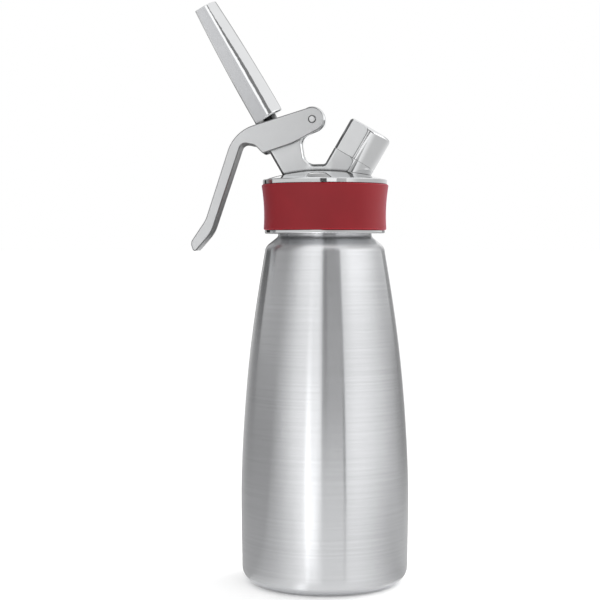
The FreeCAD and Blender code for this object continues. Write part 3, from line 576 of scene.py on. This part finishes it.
def hang_walls(settings):
    """The broad cards that the bottle, the lever and the nozzle mirror."""
    grey = settings.wall_level
    near = settings.wall_radius
    tall = settings.wall_height
    belt = 0.235                   # the cards for the bottle end here, and some for head and nozzle start
    wall_card("right_back_wall", (140, 165), near, (0.0, 0.225), (0.36, 0.36, 0.8), fall=0.6)
    wall_card("left_back_wall", (195, 280), near, (0.0, tall), (0.6, grey, grey), rise=0.5)
    # close behind the lever's handle, whose inner side leans back and would mirror the bright surround
    wall_card("handle_shade", (188, 214), 0.098, (0.095, 0.228), even(0.1))
    wall_card("left_softbox", (-80, -4.5), near, (0.0, tall), (grey, 1.32, 1.35), rise=0.65, fall=0.1)
    wall_card("low_centre_flag", (-4.5, 27), near, (0.07, 0.172), (0.03, 0.17, 0.28), rise=0.4)
    wall_card("high_centre_flag", (-4.5, 28), near, (belt, 0.3), (0.02, 0.08, 0.16), rise=0.4)
    # what the nozzle mirrors in the dark line beside its flat, further left with each step up
    flag_width = 30
    for start, low, high in ((-1, 0.3, 0.345), (-4, 0.345, 0.385), (-8, 0.385, 0.47)):
        wall_card("nozzle_flag", (start, start + flag_width), near - 0.004, (low, high), even(0.25))
    wall_card("low_right_softbox", (27, 140), near, (0.0, belt), (1.2, 1.4, 0.34), rise=0.15, fall=0.85)
    wall_card("high_right_softbox", (28, 150), near, (belt, 0.4), (1.3, 1.9, 0.55), rise=0.2, fall=0.75)
    # in front of the walls
    front = near - 0.005
    wall_card("black_edge", (24, 27), front, (0.0, 0.13), even(0.03))
    wall_card("low_strip", (-27, -17), front, (0.0, 0.1), (1.4, 2.6, 1.4), rise=0.5, fall=0.5)


def hang_rim_bands(settings):
    """What the polished rims of the head mirror, at their own height."""
    near = settings.wall_radius - 0.008
    low, middle, top = 0.152, 0.203, 0.235
    wall_card("left_mark", (-147, -119), near, (0.165, top), even(0.03))
    wall_card("left_band", (-119, -1), near, (low, top), even(0.72))
    wall_card("centre_mark", (-8.5, 3), near - 0.004, (0.2, top), even(0.09))
    wall_card("centre_band", (3, 20), near, (middle, top), even(1.1))
    wall_card("low_centre_band", (-1, 20), near, (0.172, middle), (0.6, 0.5, 0.5))
    wall_card("right_band", (20, 135), near, (low, top), (0.52, 0.6, 0.85), fall=0.4)


def hang_shades():
    """Cards close to a piece that would otherwise mirror the bright surround or a softbox."""
    # beside the cap, whose round side leans down
    wall_card("cap_shade", (29, 135), 0.06, (0.192, 0.226), (0.95, 0.6, 0.85), rise=0.2, fall=0.5)
    # behind the nozzle, whose right edge would melt into the surround
    wall_card("nozzle_shade", (150, 198), 0.12, (0.27, 0.42), (1.0, 0.4, 0.4), rise=0.8, fall=0.1)


def hang_rim_lights(settings):
    """Lights behind the object that rubber and other matt pieces see, and no reflection does."""
    radius = settings.wall_radius - 0.02
    for name, angles, level in (("left_rim_light", (-150, -115), 2.4), ("right_rim_light", (95, 150), 4.2)):
        light = wall_card(name, angles, radius, (0.05, 0.4), even(level))
        light.visible_diffuse = True
        light.visible_glossy = False


def lay_ground_cards(settings):
    """What the foot of the bottle mirrors. Cards that cross lie a hair above each other."""
    near = settings.wall_radius
    foot = 0.042
    ground_card("left_ground", (-170, -75), 1.0 * MM, (foot, near), even(0.5))
    ground_card("right_ground", (85, 170), 1.0 * MM, (foot, near), (0.55, 0.65, 0.65))
    ground_card("front_ground", (-75, 85), 1.2 * MM, (foot, near), (0.65, 1.0, 0.55), rise=0.4, fall=0.45)
    ground_card("strip_ground", (-36, -5), 1.4 * MM, (0.1, near), (1.0, 2.0, 1.0), rise=0.7)
    ground_card("strip_foot", (-26, -10), 1.4 * MM, (foot, 0.055), (1.0, 1.4, 1.0), rise=0.5, fall=0.5)


def white_surround():
    """A world of level 1, which shows as white."""
    world = bpy.data.worlds.new("white_surround")
    world.use_nodes = True
    world.node_tree.nodes.clear()
    surround = add_node(world.node_tree, "ShaderNodeBackground", {
        "Color": (1, 1, 1, 1), "Strength": 1.0})
    add_node(world.node_tree, "ShaderNodeOutputWorld", {"Surface": surround.outputs[0]})
    return world


def aimed_camera(settings):
    """The camera, at its place and turned to its aim."""
    camera = bpy.data.objects.new("camera", bpy.data.cameras.new("camera"))
    bpy.context.scene.collection.objects.link(camera)
    camera.data.lens = settings.focal_length
    camera.data.clip_start = 0.05
    camera.location = settings.camera_place
    aim = Vector(settings.camera_aim) - camera.location
    camera.rotation_euler = aim.to_track_quat("-Z", "Y").to_euler()
    return camera


class DISPENSER_OT_stage(bpy.types.Operator):
    """Add the floor, the white surround, the studio's cards and the camera"""
    bl_idname = "dispenser.stage"
    bl_label = "Stage"

    def execute(self, context):
        settings = context.scene.dispenser_stage
        context.scene.view_settings.view_transform = "Standard"
        context.scene.world = white_surround()
        lay_floor(settings)
        hang_walls(settings)
        hang_rim_bands(settings)
        hang_shades()
        hang_rim_lights(settings)
        lay_ground_cards(settings)
        context.scene.camera = aimed_camera(settings)
        return {"FINISHED"}


# ---------------------------------------------------------------- the pieces
class DISPENSER_OT_bottle(bpy.types.Operator):
    """Finish the bottle and wind the thread round its neck"""
    bl_idname = "dispenser.bottle"
    bl_label = "Bottle"

    def execute(self, context):
        dress("bottle", brushed_bottle_steel(context.scene.dispenser_finish))
        dress("head_gasket", moulded_rubber_or_plastic("moulded_nitrile_gasket", "#262628", 0.55, 0.5))
        thread = context.scene.dispenser_thread
        mesh = thread_mesh("bottle_thread", NECK_ROOT, NECK_CREST, thread.neck_pitch, thread.neck_turns,
                           NECK_THREAD_LOW, Matrix.Identity(4))
        steel = turned_metal("rolled_thread_steel", "#CDCED0", 0.2, 0.3)
        new_piece("bottle_thread", mesh, steel, "bottle")
        return {"FINISHED"}


class DISPENSER_OT_head(bpy.types.Operator):
    """Finish the head's casting and its grip sleeve"""
    bl_idname = "dispenser.head"
    bl_label = "Head"

    def execute(self, context):
        # painted shade on the casting's left-facing edges and in its corners
        dress("head_casting", satin_and_polished(
            "cast_stainless_head", "#DCDDDE", "#E4E5E6", satin=0.45, polished=0.06, flat_from=0.9,
            painted_edge_facing=(-2.0, -0.1), above=DISC_TOP, left_of=plane_beside(TILT, PORT_FOOT, 0.5 * MM),
            shade_reach=2 * MM, full=0.6, less_shade_above=HEAD_SHADE_FADES))
        dress("grip_sleeve", moulded_silicone(context.scene.dispenser_finish))
        return {"FINISHED"}


class DISPENSER_OT_lever(bpy.types.Operator):
    """Finish the squeeze lever and its pivot pin"""
    bl_idname = "dispenser.lever"
    bl_label = "Lever"

    def execute(self, context):
        # painted shade on the lever's edges and in its corners; the pin's edges are painted dark all round
        dress("lever", satin_and_polished(
            "cast_stainless_lever", "#D2D3D4", "#D4D5D6", satin=0.42, polished=0.28,
            painted_edge_facing=(-0.36, 2.0), less_shade_above=LEVER_SHADE_FADES))
        dress("lever_pin", satin_and_polished(
            "riveted_stainless_pin", "#E2E3E4", "#E2E3E4", satin=0.3, polished=0.1, painted_edge_facing=(-2.0, 2.0)))
        return {"FINISHED"}


class DISPENSER_OT_nozzle(bpy.types.Operator):
    """Finish the nozzle and its seal"""
    bl_idname = "dispenser.nozzle"
    bl_label = "Nozzle"

    def execute(self, context):
        # painted shade in the nozzle's corners, reaching 4 mm
        dress("nozzle", satin_and_polished(
            "cast_stainless_nozzle", "#B9BABC", "#E4E5E6", satin=0.32, polished=0.08, flat_from=0.96,
            left_of=plane_beside(-TILT, VALVE_FOOT, -0.2 * MM), shade_reach=4 * MM))
        dress("nozzle_oring", moulded_rubber_or_plastic("moulded_nitrile_oring", "#1E1E20", 0.45, 0.4))
        return {"FINISHED"}


class DISPENSER_OT_port(bpy.types.Operator):
    """Finish the charger port's inside, its thread and its cap"""
    bl_idname = "dispenser.port"
    bl_label = "Charger port"

    def execute(self, context):
        # painted shade on the cap's left-facing edges and in its corners
        dress("port_cap", satin_and_polished(
            "chromed_zinc_cap", "#EAEBEC", "#E9EAEB", satin=0.45, polished=0.08, painted_edge_facing=(-2.0, -0.1),
            left_of=plane_beside(TILT, PORT_FOOT, 0.1 * MM), full=0.6))
        thread = context.scene.dispenser_thread
        mesh = thread_mesh("port_thread", PORT_ROOT, PORT_CREST, thread.port_pitch, thread.port_turns,
                           PORT_THREAD_LOW, tilted(TILT, PORT_FOOT))
        steel = turned_metal("cut_thread_steel", "#CDCED0", 0.2, 0.3)
        new_piece("port_thread", mesh, steel, "head")
        rubber = moulded_rubber_or_plastic("moulded_nitrile_port_seal", "#202022", 0.5, 0.4)
        for name in ("cap_liner", "charger_seal", "check_valve"):
            dress(name, rubber)
        dress("check_valve_retainer", turned_metal("turned_stainless_retainer", "#C9CACC", 0.28, 0.3))
        dress("piercing_pin", turned_metal("ground_tool_steel", "#B9BABC", 0.18, 0.2))
        dress("micro_filter", turned_metal("sintered_bronze", "#B08D62", 0.5, 0.15))
        dress("pierce_holder", turned_metal("turned_brass", "#D9B25A", 0.22, 0.3))
        return {"FINISHED"}


class DISPENSER_OT_valve(bpy.types.Operator):
    """Finish the valve and wind its spring"""
    bl_idname = "dispenser.valve"
    bl_label = "Valve"

    def execute(self, context):
        # painted shade in the valve's corners, reaching 5 mm, darkens the stem seen under the nozzle
        steel = turned_metal("turned_stainless_valve", "#CFD0D2", 0.24, 0.3, shade_reach=5 * MM)
        for name in ("valve_stem", "valve_poppet", "stem_collar", "spring_washer"):
            dress(name, steel)
        dress("valve_guide", moulded_rubber_or_plastic("moulded_acetal_guide", "#E6E5DE", 0.4, 0.6))
        rubber = moulded_rubber_or_plastic("moulded_nitrile_valve_seal", "#1E1E20", 0.5, 0.4)
        for name in ("valve_seal", "stem_oring"):
            dress(name, rubber)

        play = 0.1 * MM
        place = tilted(-TILT, VALVE_FOOT)
        mesh = spring_mesh("valve_spring_coil", context.scene.dispenser_spring, SPRING_SEAT,
                           COLLAR_FOOT - play, place)
        wire = turned_metal("drawn_spring_wire", "#BFC0C2", 0.26, 0.2)
        coil = new_piece("valve_spring_coil", mesh, wire, "head")
        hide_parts("valve_spring")
        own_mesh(coil)
        return {"FINISHED"}


STEPS = ("stage", "bottle", "head", "lever", "nozzle", "port", "valve")


class DISPENSER_PT_panel(bpy.types.Panel):
    """The dispenser's pieces and their settings"""
    bl_idname = "DISPENSER_PT_panel"
    bl_label = "Whipped Cream Dispenser"
    bl_space_type = "VIEW_3D"
    bl_region_type = "UI"
    bl_category = "Dispenser"

    def draw(self, context):
        column = self.layout.column()
        for step in STEPS:
            column.operator("dispenser." + step)
        scene = context.scene
        for settings in (scene.dispenser_finish, scene.dispenser_thread, scene.dispenser_spring,
                         scene.dispenser_stage):
            box = self.layout.box()
            for name in settings.__annotations__:
                box.prop(settings, name)


CLASSES = (FinishSettings, ThreadSettings, SpringSettings, StageSettings, DISPENSER_OT_stage,
           DISPENSER_OT_bottle, DISPENSER_OT_head, DISPENSER_OT_lever, DISPENSER_OT_nozzle,
           DISPENSER_OT_port, DISPENSER_OT_valve, DISPENSER_PT_panel)


def register():
    for kind in CLASSES:
        bpy.utils.register_class(kind)
    bpy.types.Scene.dispenser_finish = PointerProperty(type=FinishSettings)
    bpy.types.Scene.dispenser_thread = PointerProperty(type=ThreadSettings)
    bpy.types.Scene.dispenser_spring = PointerProperty(type=SpringSettings)
    bpy.types.Scene.dispenser_stage = PointerProperty(type=StageSettings)


def unregister():
    for name in ("dispenser_stage", "dispenser_spring", "dispenser_thread", "dispenser_finish"):
        delattr(bpy.types.Scene, name)
    for kind in reversed(CLASSES):
        bpy.utils.unregister_class(kind)


def main():
    """Build the scene."""
    register()
    for step in STEPS:
        getattr(bpy.ops.dispenser, step)()


if __name__ == "__main__":
    main()
